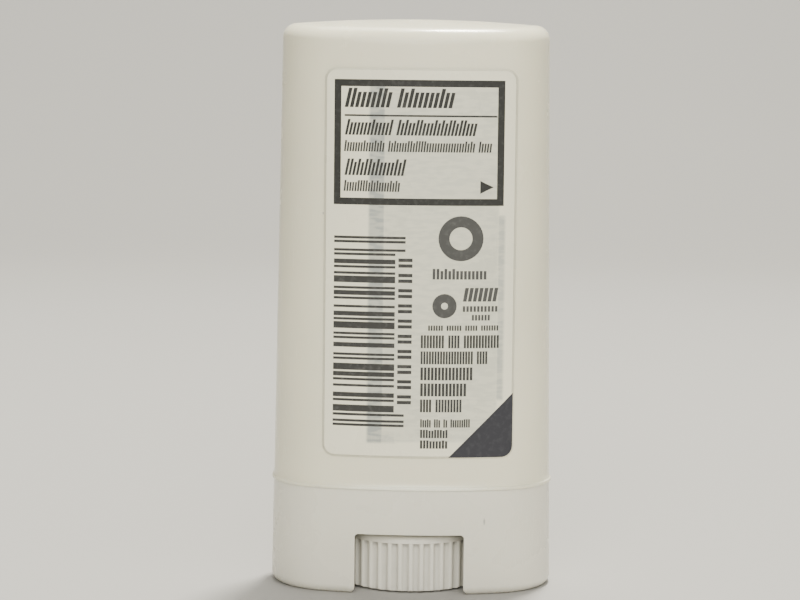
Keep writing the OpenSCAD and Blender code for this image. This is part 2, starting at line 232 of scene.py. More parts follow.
bore_r = cap_wall_r(rim_z) - tube_inset - rim_wall
ridge_rows = [ridge_z + rise for rise in spaced(-ridge_half_h, ridge_half_h, 18)]
tube_rows = ridge_rows + spaced(ridge_rows[-1], rim_round_z, 12)[1:-1]
skirt_rows = [height * MM for height in (2.6, 4.2, 5.8, 7.1, 8.5, 10.0, 11.8)]
barrel_section = (
    quarter(foot_r - foot_round, foot_round, foot_round, -90, 0, 10)
    + [(skirt_r(z), z) for z in skirt_rows]
    + quarter(base_top_r - base_edge, shoulder_z - base_edge, base_edge, 0, 90)
    + [(tube_r(base_h) + tube_fillet, shoulder_z), (tube_r(base_h), shoulder_z + tube_fillet)]
    + [(tube_r(z), z) for z in tube_rows]
    + quarter(tube_r(rim_z) - rim_round, rim_round_z, rim_round, 15, 90, 5)
    + [(bore_r + rim_round / 2, rim_z), (bore_r + rim_inner_edge, rim_z - rim_round / 2)]
    + [(bore_r, z) for z in spaced(rim_round_z, base_h, 12)[:-1]]
    + [(bore_r, base_h + bore_fillet), (bore_r - bore_fillet, base_h)]
)
barrel_walk = walk_round_oval(end_steps=40, face_steps=24)
barrel_rings = [oval_ring(barrel_walk, r, z) for r, z in barrel_section]
# Across the floor to the hub's round hole, and back out along its underside
floor_shares = (0.35, 0.7, 1.0)
skirt_inner_r = skirt_r(floor_z) - skirt_wall
for share in floor_shares:
    barrel_rings.append(round_ring(barrel_walk, hub_hole_r, base_h, share, bore_r - bore_fillet))
for share in reversed(floor_shares):
    barrel_rings.append(round_ring(barrel_walk, hub_hole_r, floor_z, share, skirt_inner_r))
skirt_inner_draft = foot_r - skirt_wall - skirt_inner_r
for height in (12.4, 10.2, 8.5, 7.1, 5.0, 2.5, 0.0):
    z = height * MM
    r = skirt_inner_r + skirt_inner_draft * (floor_z - z) / floor_z
    barrel_rings.append(oval_ring(barrel_walk, r, z))
barrel = closed_loft("base_and_tube", barrel_rings)

# One long form cuts both thumb windows. Their sides curve out at the foot, and their upper
# corners are slightly round.
window_half_w = 7.25 * MM
window_h = 8.1 * MM
window_corner = 0.5 * MM
window_flare = 0.9 * MM
window_edge = 0.18 * MM
cutter_reach = 30 * MM
cutter_foot_z = -3 * MM
half_outline = (
    [(window_half_w + window_flare, cutter_foot_z)]
    + quarter(window_half_w + window_flare, window_flare, window_flare, 270, 180, 8)
    + quarter(window_half_w - window_corner, window_h - window_corner, window_corner, 0, 90)
)
outline = half_outline + [(-x, z) for x, z in reversed(half_outline)]
cutter_points, cutter_faces = [], []
cutter_ends = [[(x, y, z) for x, z in outline] for y in (-cutter_reach, cutter_reach)]
add_rod(cutter_points, cutter_faces, cutter_ends)
cut_away(barrel, piece_from("window_cutter", cutter_points, cutter_faces))
soften_edges(barrel, window_edge)


def feed(tree, socket, value):
    """Gives a socket a plain value, or a link from another node's output."""
    if isinstance(value, bpy.types.NodeSocket):
        tree.links.new(value, socket)
    else:
        socket.default_value = value


def place_node(tree, kind, inputs=None, **settings):
    """Adds a shader node with its settings, and feeds its inputs."""
    node = tree.nodes.new("ShaderNode" + kind)
    for key, value in settings.items():
        setattr(node, key, value)
    for key, value in (inputs or {}).items():
        feed(tree, node.inputs[key], value)
    return node


def effect_group(name, inputs, outputs):
    """An empty shader node group, with its place, its inputs and its outputs.

    The place is an input of every effect. The others are named here, each with its default.
    """
    tree = bpy.data.node_groups.new(name, "ShaderNodeTree")
    for socket, default in {"Place": (0, 0, 0), **inputs}.items():
        kind = "NodeSocketVector" if isinstance(default, tuple) else "NodeSocketFloat"
        made = tree.interface.new_socket(name=socket, in_out="INPUT", socket_type=kind)
        made.default_value = default
    for socket in outputs:
        tree.interface.new_socket(name=socket, in_out="OUTPUT", socket_type="NodeSocketFloat")
    group_in = tree.nodes.new("NodeGroupInput").outputs
    return tree, group_in["Place"], group_in, tree.nodes.new("NodeGroupOutput").inputs


def combine_vectors(tree, a, b, operation):
    return place_node(tree, "VectorMath", {0: a, 1: b}, operation=operation).outputs[0]


def length_of(tree, vector):
    return place_node(tree, "VectorMath", {0: vector}, operation="LENGTH").outputs["Value"]


def axes_of(tree, vector):
    return place_node(tree, "SeparateXYZ", {0: vector}).outputs


def noise_at(tree, place, scale, detail=2.0):
    """Noise with so many features a millimetre, or (x, y, z) features for a drawn-out grain."""
    stretch = scale if isinstance(scale, tuple) else (scale, scale, scale)
    drawn = combine_vectors(tree, place, stretch, "MULTIPLY")
    fed = {"Vector": drawn, "Scale": 1.0, "Detail": detail, "Roughness": 0.5}
    return place_node(tree, "TexNoise", fed).outputs["Fac"]


def ramp(tree, value, low, high, to_low=0.0, to_high=1.0):
    """A smooth step of a value, from one level to another."""
    fed = {"Value": value, "From Min": low, "From Max": high, "To Min": to_low, "To Max": to_high}
    return place_node(tree, "MapRange", fed, interpolation_type="SMOOTHSTEP").outputs["Result"]


def combine(tree, a, b, operation="ADD"):
    """Two values made into one: added, unless another operation is named."""
    return place_node(tree, "Math", {0: a, 1: b}, operation=operation).outputs[0]


def times(tree, a, b):
    return combine(tree, a, b, "MULTIPLY")


# The skin of a polypropylene moulding: a fine grain from the mould over a faint ripple, cloudy
# spots where it was handled, and a slow drift of tone.
tree, place, group_in, group_out = effect_group(
    "moulded_skin", {"Grain": 1.0, "Ripple": 1.0}, ("Height", "Handling", "Tone")
)
grain = times(tree, noise_at(tree, place, 7.0), group_in["Grain"])
ripple = times(tree, noise_at(tree, place, 0.55), group_in["Ripple"])
handling = ramp(tree, noise_at(tree, place, 0.16, 4.0), 0.42, 0.68)
tree.links.new(combine(tree, grain, ripple), group_out["Height"])
tree.links.new(handling, group_out["Handling"])
tree.links.new(noise_at(tree, place, 0.06), group_out["Tone"])

# Hairline scratches from a bag or a shelf: long thin noise, kept only where it peaks.
tree, place, group_in, group_out = effect_group("fine_scratches", {"Amount": 1.0}, ["Mask"])
lengthwise = noise_at(tree, place, (9.0, 9.0, 0.35), 0.0)
lengthwise = ramp(tree, lengthwise, 0.7, 0.78)
crosswise = noise_at(tree, place, (0.3, 6.0, 11.0), 0.0)
crosswise = ramp(tree, crosswise, 0.72, 0.8)
broken = ramp(tree, noise_at(tree, place, 0.12), 0.45, 0.6)
both = combine(tree, lengthwise, crosswise, "MAXIMUM")
both = times(tree, both, broken)
both = times(tree, both, group_in["Amount"])
tree.links.new(both, group_out["Mask"])

# Rubbing along a foot or rim: strongest at one height and gone a little way off, in patches.
tree, place, group_in, group_out = effect_group("rubbed_edge", {"Level": 0.0, "Reach": 1.5}, ["Mask"])
level = axes_of(tree, place)["Z"]
away = combine(tree, level, group_in["Level"], "SUBTRACT")
away = combine(tree, combine(tree, away, 0.0, "ABSOLUTE"), group_in["Reach"], "DIVIDE")
patches = ramp(tree, noise_at(tree, place, 0.8, 4.0), 0.42, 0.62)
near = ramp(tree, away, 1.0, 0.0)
tree.links.new(times(tree, near, patches), group_out["Mask"])

# One small soft spot on a surface, upright, with a centre and half its size: a small mark, and on the cap's
# lip a painted highlight.
tree, place, group_in, group_out = effect_group(
    "mark_and_highlight_spot", {"Centre": (0, 0, 0), "Half size": (1, 1, 1)}, ["Mask"]
)
offset = combine_vectors(tree, place, group_in["Centre"], "SUBTRACT")
offset = combine_vectors(tree, offset, group_in["Half size"], "DIVIDE")
tree.links.new(ramp(tree, length_of(tree, offset), 1.2, 0.4), group_out["Mask"])


def finish_of(name, roughness, ior=1.49, coat=0.0, subsurface=0.0, scatter=0.9 * MM):
    """A material with its own shader, and the place on the piece in millimetres."""
    material = bpy.data.materials.new(name)
    material.use_nodes = True
    tree = material.node_tree
    shader = tree.nodes["Principled BSDF"]
    settings = {
        "Roughness": roughness,
        "IOR": ior,
        "Coat Weight": coat,
        "Coat Roughness": 0.12,
        "Subsurface Weight": subsurface,
        "Subsurface Radius": (1.0, 0.85, 0.7),
        "Subsurface Scale": scatter,
    }
    for socket, value in settings.items():
        shader.inputs[socket].default_value = value
    where = place_node(tree, "TexCoord").outputs["Object"]
    place = place_node(tree, "VectorMath", {0: where, "Scale": 1 / MM}, operation="SCALE")
    place.name = "place"
    return material, tree, shader, place.outputs[0]


def effect(tree, name, inputs=None):
    """Puts an effect into a material, at the place on the piece."""
    fed = {"Place": tree.nodes["place"].outputs[0], **(inputs or {})}
    return place_node(tree, "Group", fed, node_tree=bpy.data.node_groups[name]).outputs


def blend_colours(tree, share, a, b):
    """From colour a to colour b by a share that changes over the surface."""
    return place_node(tree, "Mix", {"Factor": share, 6: a, 7: b}, data_type="RGBA").outputs[2]


def lay_over(material, name, inputs, strength, colour):
    """Lays a colour over a finish, where an effect's mask puts it."""
    tree = material.node_tree
    coloured = tree.nodes["Principled BSDF"].inputs["Base Color"]
    plain = coloured.links[0].from_socket
    mask = effect(tree, name, inputs)["Mask"]
    tree.links.new(blend_colours(tree, times(tree, mask, strength), plain, colour), coloured)


def bump_on(tree, shader, height, depth):
    """Feeds a height of about 0 to 1 to the shader as relief of so many metres."""
    made = place_node(tree, "Bump", {"Height": height, "Strength": 1.0, "Distance": depth})
    tree.links.new(made.outputs["Normal"], shader.inputs["Normal"])


rubbed_tint = (0.52, 0.5, 0.46, 1)
mark_tint = (0.22, 0.21, 0.2, 1)


def roughen(tree, shader, least, masks):
    """Feeds a roughness that starts from the least one, and rises with each mask by so much."""
    matt = least
    for mask, rise in masks:
        matt = combine(tree, matt, times(tree, mask, rise))
    tree.links.new(matt, shader.inputs["Roughness"])


def polypropylene(name, colour, shade, roughness, wear_level, wear_reach, marks=(), subsurface=0.3):
    """Semi-gloss moulded plastic, rubbed at one height, with small marks as (centre, half size)."""
    material, tree, shader, _ = finish_of(name, roughness, subsurface=subsurface)
    skin = effect(tree, "moulded_skin")
    scratches = effect(tree, "fine_scratches")["Mask"]
    rubbed = effect(tree, "rubbed_edge", {"Level": wear_level, "Reach": wear_reach})["Mask"]
    tone = blend_colours(tree, ramp(tree, skin["Tone"], 0.35, 0.65), colour, shade)
    worn = blend_colours(tree, times(tree, rubbed, 0.35), tone, rubbed_tint)
    tree.links.new(worn, shader.inputs["Base Color"])
    for centre, half_size in marks:
        spot = {"Centre": centre, "Half size": half_size}
        lay_over(material, "mark_and_highlight_spot", spot, strength=0.6, colour=mark_tint)
    masks = ((skin["Handling"], 0.09), (rubbed, 0.2), (scratches, 0.12))
    roughen(tree, shader, roughness - 0.03, masks)
    relief = combine(tree, skin["Height"], times(tree, scratches, 0.5), "SUBTRACT")
    bump_on(tree, shader, relief, depth=0.004 * MM)
    return material


base_finish = polypropylene(
    "white_base_polypropylene",
    colour=(0.76, 0.735, 0.625, 1),
    shade=(0.725, 0.7, 0.6, 1),
    roughness=0.28,
    wear_level=0.0,
    wear_reach=1.4,
    marks=[((9.92, -9.2, 9.9), (0.16, 1.5, 0.5))],
)
barrel.data.materials.clear()
barrel.data.materials.append(base_finish)
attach(barrel, "barrel")
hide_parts("barrel")


# Dial: the ribbed wheel in the thumb windows, moulded in white polypropylene in one with its web,
# hub, neck and collar. Forty grooves run up its rim and stop short of a plain rounded shoulder.
dial_low, dial_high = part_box("dial_screw")
dial_r = dial_high.x
dial_foot_z = dial_low.z
dial_top_z = 7.7 * MM
dial_wall = 1.6 * MM
dial_shoulder = 0.8 * MM
dial_foot_round = 0.35 * MM
dial_edge = 0.2 * MM
groove_top_z = 6.7 * MM
groove_end = 0.07 * MM
groove_count = 40
groove_start = 0.65
groove_depth = 0.5 * MM
rim_inner_r = dial_r - dial_wall
web_z = dial_foot_z + 0.9 * MM
web_t = 1.3 * MM
web_top_z = web_z + web_t
web_edge = 0.15 * MM
floor_gap = 0.1 * MM
hub_r = 4.8 * MM
hub_top_z = floor_z - floor_gap
neck_r = 3.5 * MM
collar_r = 3.9 * MM
collar_top_r = 2.8 * MM
collar_z = base_h + floor_gap
collar_side_h = 0.4 * MM
collar_top_z = collar_z + 2 * collar_side_h
# Across one rib and groove: place as a share of the pitch, and depth as a share of the groove's
rib_profile = [
    (0.0, 0.0), (0.07, 0.01), (0.125, 0.05), (0.165, 0.15), (0.2, 0.34), (0.25, 0.6),
    (0.32, 0.83), (0.41, 0.97), (0.5, 1.0), (0.59, 0.97), (0.68, 0.83),
    (0.75, 0.6), (0.8, 0.34), (0.835, 0.15), (0.875, 0.05), (0.93, 0.01),
]
# Heights of the rings along the grooves, in millimetres from their heads
groove_rows = (-5.0, -3.5, -2.0, -0.6, -0.2, -0.07, -0.02, 0.0, 0.12)
dial_section = (
    [(r, web_z) for r in (2.0 * MM, 5.0 * MM, rim_inner_r - dial_edge)]
    + [(rim_inner_r, web_z - web_edge), (rim_inner_r, dial_foot_z + dial_edge)]
    + [(rim_inner_r + dial_edge, dial_foot_z)]
    + quarter(dial_r - dial_foot_round, dial_foot_z + dial_foot_round, dial_foot_round, -90, 0, 4)
    + [(dial_r, groove_top_z + rise * MM) for rise in groove_rows]
    + quarter(dial_r - dial_shoulder, dial_top_z - dial_shoulder, dial_shoulder, 0, 90, 8)
    + [(rim_inner_r + dial_edge, dial_top_z), (rim_inner_r, dial_top_z - dial_edge)]
    + [(rim_inner_r, web_top_z), (hub_r + dial_edge, web_top_z), (hub_r, web_top_z + dial_edge)]
    + [(hub_r, hub_top_z), (neck_r, hub_top_z), (neck_r, collar_z)]
    + [(collar_r, collar_z), (collar_r, collar_z + collar_side_h)]
    + [(collar_top_r, collar_top_z), (collar_top_r / 2, collar_top_z)]
)


def dial_ring(r, z):
    """A ring of the wheel. Where it is as far out as the ribs, the grooves cut into it."""
    depth = groove_depth * min(max((groove_top_z - z) / groove_end, 0), 1) ** 0.4
    ring = []
    for i in range(groove_count):
        for place, share in rib_profile:
            turn = (i + place + groove_start - 0.5) * 2 * math.pi / groove_count
            ring.append(on_circle(min(r, dial_r - depth * share), turn, z))
    return ring


def loft_with_ends(rings, first_z, last_z):
    """Points and faces of a loft whose ends close on the axis, at two heights."""
    size = len(rings[0])
    points = [p for ring in rings for p in ring] + [Vector((0, 0, z)) for z in (first_z, last_z)]
    faces = strips_between(rings)
    for start, middle in ((0, len(points) - 2), (size * (len(rings) - 1), len(points) - 1)):
        faces += [(middle, start + j, start + (j + 1) % size) for j in range(size)]
    return points, faces


def add_box(points, faces, low, high, turn=0.0):
    """Adds a closed block, turned about the screw's axis."""
    first = len(points)
    spin = Matrix.Rotation(turn, 4, "Z")
    for x in (low[0], high[0]):
        for y in (low[1], high[1]):
            for z in (low[2], high[2]):
                points.append(spin @ Vector((x, y, z)))
    for face in ((0, 1, 3, 2), (4, 6, 7, 5), (0, 4, 5, 1), (2, 3, 7, 6), (0, 2, 6, 4), (1, 5, 7, 3)):
        faces.append(tuple(first + i for i in face))


dial_rings = [dial_ring(r, z) for r, z in dial_section]
dial_points, dial_faces = loft_with_ends(dial_rings, web_z, collar_top_z)
web_rib_count = 6
web_rib_half = 0.45 * MM
web_rib_drop = 1.0 * MM
for i in range(web_rib_count):
    add_box(
        dial_points,
        dial_faces,
        (hub_r - web_rib_half, -web_rib_half, web_top_z - web_rib_half),
        (rim_inner_r + web_rib_half, web_rib_half, dial_top_z - web_rib_drop),
        turn=2 * math.pi * i / web_rib_count,
    )

# Screw: it stands on the collar in one with the dial. Its left-hand thread lifts the elevator
# when the dial is turned clockwise, seen from below.
screw_root_r = 2.05 * MM
screw_crest_r = 2.8 * MM
screw_top_z = dial_high.z
thread_pitch = 3.0 * MM
thread_low = collar_z + 1.6 * MM
thread_high = screw_top_z - 1.8 * MM
steps_a_turn = 40
tip_round = 0.6 * MM
shaft_section = [(screw_root_r, collar_z), (screw_root_r, screw_top_z - 2 * tip_round)]
shaft_section += quarter(screw_root_r - tip_round, screw_top_z - tip_round, tip_round, 0, 90, 4)
shaft_turns = spaced(0, 2 * math.pi, steps_a_turn)[:-1]
add_rod(dial_points, dial_faces, [[on_circle(r, turn, z) for turn in shaft_turns] for r, z in shaft_section])

thread_steps = int((thread_high - thread_low) / thread_pitch * steps_a_turn)
run_out_steps = 14
crest = (screw_crest_r - screw_root_r) / MM
# Across one turn of the thread, in millimetres: out from the screw's root, and up from its middle
thread_profile = (
    (-0.05, -0.95), (-0.05, 0.95),
    (crest - 0.07, 0.52), (crest, 0.42), (crest, -0.42), (crest - 0.07, -0.52),
)
thread_rings = []
for k in range(thread_steps + 1):
    turn = -2 * math.pi * k / steps_a_turn
    rise = thread_pitch * k / steps_a_turn
    ease = min(k / run_out_steps, (thread_steps - k) / run_out_steps, 1)
    thread_rings.append([
        on_circle(screw_root_r + min(out, out * ease) * MM, turn, thread_low + rise + up * MM)
        for out, up in thread_profile
    ])
add_rod(dial_points, dial_faces, thread_rings)

dial = piece_from("ribbed_dial_and_screw", dial_points, dial_faces, smooth_angle=38)
dial_finish = polypropylene(
    "white_dial_polypropylene",
    colour=(0.78, 0.755, 0.66, 1),
    shade=(0.745, 0.72, 0.635, 1),
    roughness=0.36,
    wear_level=dial_foot_z / MM,
    wear_reach=1.2,
    subsurface=0.03,
)
# Painted shade in the grooves of the rim: it darkens them more with the depth below the ribs,
# most of all at the head of each groove, under the plain shoulder
tree, place, group_in, group_out = effect_group(
    "painted_groove_shade", {"Rim": 9.3, "Depth": 0.5, "Top": 7.0}, ["Mask"]
)
reach = length_of(tree, combine_vectors(tree, place, (1, 1, 0), "MULTIPLY"))
below = combine(tree, group_in["Rim"], reach, "SUBTRACT")
below = combine(tree, below, group_in["Depth"], "DIVIDE")
height = axes_of(tree, place)["Z"]
fall = combine(tree, group_in["Top"], height, "SUBTRACT")
under = ramp(tree, fall, 0.0, 0.1)
head = ramp(tree, fall, 0.3, 0.8, 1.0, 0.38)
uneven = noise_at(tree, place, (1.5, 1.5, 0.5), 3.0)
uneven = ramp(tree, uneven, 0.25, 0.6, 0.7, 1.0)
groove_shade_share = ramp(tree, below, 0.1, 0.9)
for limit in (ramp(tree, below, 2.2, 1.6), under, uneven, head):
    groove_shade_share = times(tree, groove_shade_share, limit)
tree.links.new(groove_shade_share, group_out["Mask"])
# Lays the painted shade in the grooves over the dial's finish, as a dark colour
lay_over(
    dial_finish,
    "painted_groove_shade",
    {"Rim": dial_r / MM, "Depth": groove_depth / MM, "Top": groove_top_z / MM + 0.05},
    strength=0.8,
    colour=(0.3, 0.29, 0.26, 1),
)
dial.data.materials.append(dial_finish)
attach(dial, "dial")
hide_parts("dial_screw")


# Elevator: a platform moulded in natural polypropylene, with a wiper skirt, a nut and anchor fins.
# It fits in the tube, where the screw lifts it, and keeps the form of the solid model.
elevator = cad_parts["elevator"]
weld = elevator.modifiers.new("weld", "WELD")
weld.merge_threshold = 0.001 * MM
elevator.data.polygons.foreach_set("use_smooth", [True] * len(elevator.data.polygons))
crease = elevator.modifiers.new("crease", "EDGE_SPLIT")
crease.split_angle = math.radians(30)
elevator_finish = polypropylene(
    "natural_elevator_polypropylene",
    colour=(0.83, 0.83, 0.8, 1),
    shade=(0.8, 0.8, 0.77, 1),
    roughness=0.42,
    wear_level=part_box("elevator")[0].z / MM,
    wear_reach=1.0,
)
elevator.data.materials.clear()
elevator.data.materials.append(elevator_finish)


# Product: white waxy solid, cast in the tube round the nut and the fins, part used. Use has
# rounded its edge and left a smooth crown with faint strokes along it, round the screw's hole.
stick_low, stick_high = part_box("product")
stick_r = stick_high.x - end_x
stick_foot_z = stick_low.z
stick_h = 12.5 * MM
crown_z = stick_foot_z + stick_h
stick_crown_rx = 50 * MM
stick_crown_ry = 12 * MM
stroke_depth = 0.05 * MM
dent_depth = 0.04 * MM
stick_edge = 1.4 * MM
stick_hole_r = 3.3 * MM
hole_edge = 0.5 * MM
recess_r = 4.7 * MM
recess_z = stick_foot_z + 3.1 * MM
hole_middle_z = recess_z + 4.0 * MM


def bulge(radius, across):
    return radius - math.sqrt(radius * radius - across * across)


def on_crown(ring, crown, drop=0.0):
    """The ring lifted onto a crown, or a little below it."""
    return [Vector((x, y, crown(x, y) - drop)) for x, y, _ in ring]


def edge_rings(walk, r, radius, steps, crown, drop=0.0):
    """Rings up the rounded edge of a crown, from its wall to its top."""
    rings = []
    for turn in spaced(0, math.pi / 2, steps):
        ring = oval_ring(walk, r - radius * (1 - math.cos(turn)), 0)
        rings.append(on_crown(ring, crown, drop + radius * (1 - math.sin(turn))))
    return rings


def stick_crown(x, y):
    """Height of the crown, with faint strokes and dents from use."""
    strokes = noise.noise(Vector((x / MM * 0.12, y / MM * 0.9, 2.0)))
    dents = noise.noise(Vector((x / MM * 0.35, y / MM * 0.35, 7.0)))
    worn = stroke_depth * (strokes - 1) + dent_depth * dents
    return crown_z - bulge(stick_crown_rx, x) - bulge(stick_crown_ry, y) + worn


stick_walk = walk_round_oval(end_steps=36, face_steps=40)
stick_rings = [oval_ring(stick_walk, stick_r, stick_foot_z + rise * MM) for rise in (0, 1.5, 3, 4.5, 5.5)]
stick_rings += edge_rings(stick_walk, stick_r, stick_edge, 8, stick_crown)
for share in spaced(0, 1, 16)[1:]:
    ring = round_ring(stick_walk, stick_hole_r + hole_edge, 0, share, stick_r - stick_edge)
    stick_rings.append(on_crown(ring, stick_crown))
for turn in spaced(0, math.pi / 2, 5)[1:]:
    ring = round_ring(stick_walk, stick_hole_r + hole_edge * (1 - math.sin(turn)), 0)
    stick_rings.append(on_crown(ring, stick_crown, hole_edge * (1 - math.cos(turn))))
# The hole goes down into a wider recess, which stands round the elevator's nut
stick_rings += [
    round_ring(stick_walk, stick_hole_r, hole_middle_z),
    round_ring(stick_walk, stick_hole_r, recess_z),
    round_ring(stick_walk, recess_r, recess_z),
    round_ring(stick_walk, recess_r, stick_foot_z),
]
stick_smooth_angle = 50
stick = closed_loft("solid_stick", stick_rings, stick_smooth_angle)

# Two slots in its foot take the elevator's anchor fins
fin_x = 9.5 * MM
fin_slot_half_w = 0.7 * MM
fin_slot_half_d = 3.6 * MM
fin_slot_h = 3.6 * MM
fin_slot_below = 1.0 * MM
for middle in (-fin_x, fin_x):
    slot_points, slot_faces = [], []
    add_box(
        slot_points,
        slot_faces,
        (middle - fin_slot_half_w, -fin_slot_half_d, stick_foot_z - fin_slot_below),
        (middle + fin_slot_half_w, fin_slot_half_d, stick_foot_z + fin_slot_h),
    )
    cut_away(stick, piece_from("fin_slot_cutter", slot_points, slot_faces))
smooth_out(stick, stick_smooth_angle)

wax, tree, shader, place = finish_of("white_waxy_solid", roughness=0.46, subsurface=0.35, scatter=1.2 * MM)
strokes = noise_at(tree, place, (0.25, 2.2, 0.6), 3.0)
crumbs = ramp(tree, noise_at(tree, place, 2.6, 3.0), 0.6, 0.72)
cloud = noise_at(tree, place, 0.2, 2.0)
tree.links.new(
    blend_colours(tree, ramp(tree, cloud, 0.3, 0.7), (0.86, 0.86, 0.82, 1), (0.81, 0.81, 0.78, 1)),
    shader.inputs["Base Color"],
)
tree.links.new(ramp(tree, strokes, 0.3, 0.7, 0.38, 0.56), shader.inputs["Roughness"])
relief = combine(tree, strokes, times(tree, crumbs, 0.6), "SUBTRACT")
bump_on(tree, shader, relief, depth=0.03 * MM)
stick.data.materials.clear()
stick.data.materials.append(wax)
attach(stick, "platform")
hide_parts("product")


# Cap: one thin polypropylene moulding with a crowned top, drafted walls and a small flared lip
# round its mouth. A groove inside snaps over the ridge on the tube.
mouth_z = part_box("cap")[0].z
cap_wall = 1.1 * MM
cap_top_t = 1.2 * MM
crown_edge = 1.7 * MM
crown_inner_edge = 0.8 * MM
crown_rx = 200 * MM
crown_ry = 27 * MM
lip_out = 0.27 * MM
lip_rise = 1.0 * MM
lip_edge = 0.35 * MM
lip_corner = 0.05 * MM
lip_top_z = mouth_z + lip_edge + lip_rise
lip_turn = math.radians(60)
lip_lead = 0.4 * MM
brim_round = 0.015 * MM
brim_share = 0.95
mouth_lead = 0.4 * MM
snap_groove = 0.12 * MM


def cap_crown(x, y):
    return cap_top_z - bulge(crown_rx, x) - bulge(crown_ry, y)


def crown_rings(r, drop, shares):
    """Rings across a crown, each a share of the way out from the middle."""
    outer = oval_ring(cap_walk, r, 0)
    return [on_crown([share * place for place in outer], cap_crown, drop) for share in shares]


def cap_inner_r(z):
    return cap_wall_r(z) - cap_wall + snap_groove * ridge_share(z)


cap_walk = walk_round_oval(end_steps=56, face_steps=60)
cap_edge_r = cap_wall_r(cap_top_z - 2 * crown_edge)
cap_inner_edge_r = cap_inner_r(cap_top_z - 2 * crown_edge)
cap_top_r = cap_wall_r(cap_top_z)
wall_end_z = cap_crown(end_x + cap_top_r, cap_top_r + face_reach - face_y) - crown_edge
cap_section = [(cap_wall_r(z), z) for z in spaced(wall_end_z, lip_top_z + lip_lead, 16)]
# The lip flares out in a quarter of an ellipse, which ends in a small rounded brim
lip_root_r = cap_wall_r(lip_top_z)
lip_r = lip_root_r + lip_out
for turn in spaced(0, lip_turn, 7):
    r = lip_root_r + lip_out * (1 - math.cos(turn))
    cap_section.append((r, lip_top_z - lip_rise * math.sin(turn)))
cap_section += [(lip_r - brim_round, lip_top_z - brim_share * lip_rise), (lip_r, lip_top_z - lip_rise)]
cap_section += quarter(lip_r - lip_corner, mouth_z + lip_corner, lip_corner, -12, -90, 4)
cap_section.append((cap_inner_r(mouth_z) + mouth_lead / 2, mouth_z))
inner_rows = [mouth_z + mouth_lead] + ridge_rows + spaced(ridge_rows[-1], wall_end_z, 10)[1:]
cap_section += [(cap_inner_r(z), z) for z in inner_rows]

cap_rings = crown_rings(cap_edge_r - crown_edge, 0, spaced(0, 1, 18)[1:-1])
cap_rings += reversed(edge_rings(cap_walk, cap_edge_r, crown_edge, 12, cap_crown))
cap_rings += [oval_ring(cap_walk, r, z) for r, z in cap_section]
cap_rings += edge_rings(cap_walk, cap_inner_edge_r, crown_inner_edge, 6, cap_crown, cap_top_t)
cap_rings += crown_rings(cap_inner_edge_r - crown_inner_edge, cap_top_t, spaced(1, 0, 10)[1:-1])
cap = piece_from("cap_shell", *loft_with_ends(cap_rings, cap_top_z, cap_top_z - cap_top_t))
cap_finish = polypropylene(
    "white_cap_polypropylene",
    colour=(0.83, 0.79, 0.61, 1),
    shade=(0.795, 0.76, 0.59, 1),
    roughness=0.22,
    wear_level=mouth_z / MM,
    wear_reach=0.7,
    marks=[((-11.74, -8.9, 50.5), (0.22, 1.5, 0.22))],
)
# A painted highlight: a pale band along the front of the lip, where its flare catches the light from above
lay_over(
    cap_finish,
    "mark_and_highlight_spot",
    {"Centre": (0.6, -10.3, mouth_z / MM + 0.25), "Half size": (12.0, 4.0, 0.45)},
    strength=0.9,
    colour=(0.98, 0.96, 0.79, 1),
)
cap.data.materials.append(cap_finish)
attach(cap, "cap")
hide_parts("cap")


# Label: two printed plastic films, one stuck to the cap and a peel-open one on top of it. Both
# are die-cut with round corners and follow the cap's curved, drafted wall.
label_x = 0.95 * MM
label_half_w = 12.65 * MM
base_film_low, base_film_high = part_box("label_base")
label_half_h = (base_film_high.z - base_film_low.z) / 2
label_middle_z = (base_film_low.z + base_film_high.z) / 2
label_corner = 1.6 * MM
film_t = 0.09 * MM
film_gap = 0.01 * MM
film_inset = 0.12 * MM


def wall_y(x, z, lift):
    """Depth of the cap's front wall at a place on it, lifted off it by so much."""
    r = cap_wall_r(z) + lift
    if abs(x) <= end_x + r * math.sin(face_turn):
        return face_y - math.sqrt((r + face_reach) ** 2 - x * x)
    return -math.sqrt(max(r * r - (abs(x) - end_x) ** 2, 0))


def add_film(points, faces, rails, low_lift, high_lift, rows=1):
    """Adds a thin closed film on the cap's wall. Rails are pairs of points (x, z), below and above."""
    first = len(points)
    for lift in (low_lift, high_lift):
        for row in range(rows + 1):
            for (x0, z0), (x1, z1) in rails:
                x = x0 + (x1 - x0) * row / rows
                z = z0 + (z1 - z0) * row / rows
                points.append(Vector((x, wall_y(x, z, lift), z)))
    count = len(rails)
    layer = count * (rows + 1)
    for row in range(rows):
        for i in range(count - 1):
            a = first + row * count + i
            faces.append((a, a + 1, a + count + 1, a + count))
            b = a + layer
            faces.append((b, b + count, b + count + 1, b + 1))
        for a in (first + row * count, first + (row + 1) * count - 1):
            faces.append((a, a + count, a + count + layer, a + layer))
    for row in (0, rows):
        for i in range(count - 1):
            a = first + row * count + i
            faces.append((a, a + layer, a + 1 + layer, a + 1))


def film_rails(x_low, x_high, z_low, z_high, corner):
    """Rails of a rectangle with round corners."""
    arc = [corner * (1 - math.cos(turn)) for turn in spaced(0, math.pi / 2, 10)]
    xs = [x_low + a for a in arc]
    xs += spaced(x_low + corner, x_high - corner, 44)[1:-1]
    xs += [x_high - a for a in reversed(arc)]
    rails = []
    for x in xs:
        into = corner - min(x - x_low, x_high - x, corner)
        shift = corner - math.sqrt(max(corner * corner - into * into, 0))
        rails.append(((x, z_low + shift), (x, z_high - shift)))
    return rails


def film_piece(name, inset, lift):
    points, faces = [], []
    rails = film_rails(
        label_x - label_half_w + inset,
        label_x + label_half_w - inset,
        base_film_low.z + inset,
        base_film_high.z - inset,
        label_corner - inset,
    )
    add_film(points, faces, rails, lift, lift + film_t, rows=24)
    return piece_from(name, points, faces)


# Print that shows faintly through a film: soft upright bands and rows of the sheet below.
tree, place, group_in, group_out = effect_group("show_through", {}, ["Mask"])
axes = axes_of(tree, place)
band_blur = 0.25


